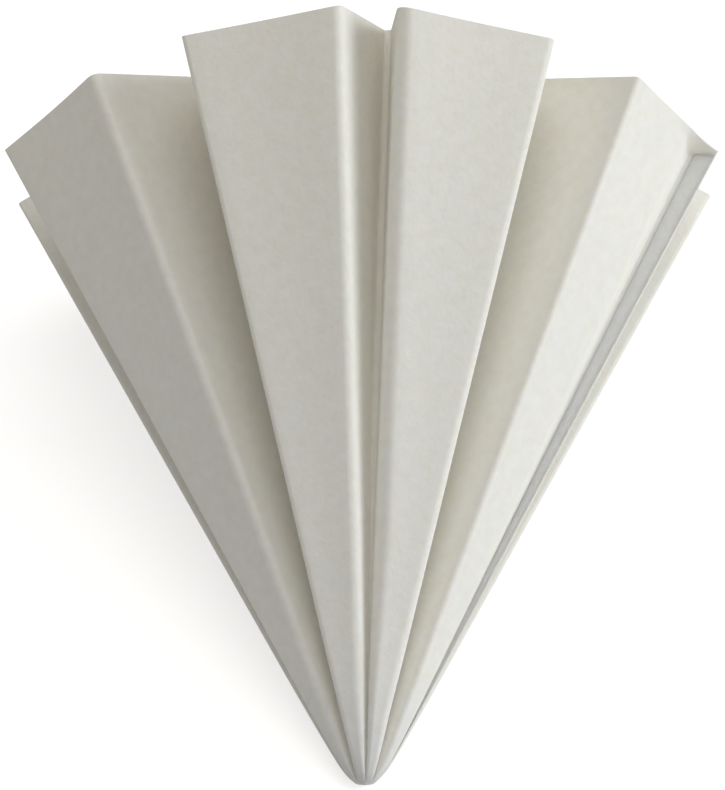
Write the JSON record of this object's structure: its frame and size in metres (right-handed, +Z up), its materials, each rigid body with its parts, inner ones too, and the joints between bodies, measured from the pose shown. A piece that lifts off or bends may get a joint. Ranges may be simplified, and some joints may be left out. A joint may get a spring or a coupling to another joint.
{
  "type": "folded filter paper",
  "caption": "Round filter paper folded into a fluted cone that lies on its side, with flat outer panels and grooves that run in towards its middle.",
  "frame": {"origin": "middle of the footprint, on the surface that the folded paper lies on", "axes": "+Z up from the surface, +Y from the tip towards the open mouth, +X to the right seen from the tip"},
  "size_m": [0.0884, 0.093, 0.0653],
  "materials": {
    "paper": "matte, soft fibrous surface"
  },
  "bodies": {
    "root": {"fluted_sheet": "paper"}
  },
  "joints": []
}
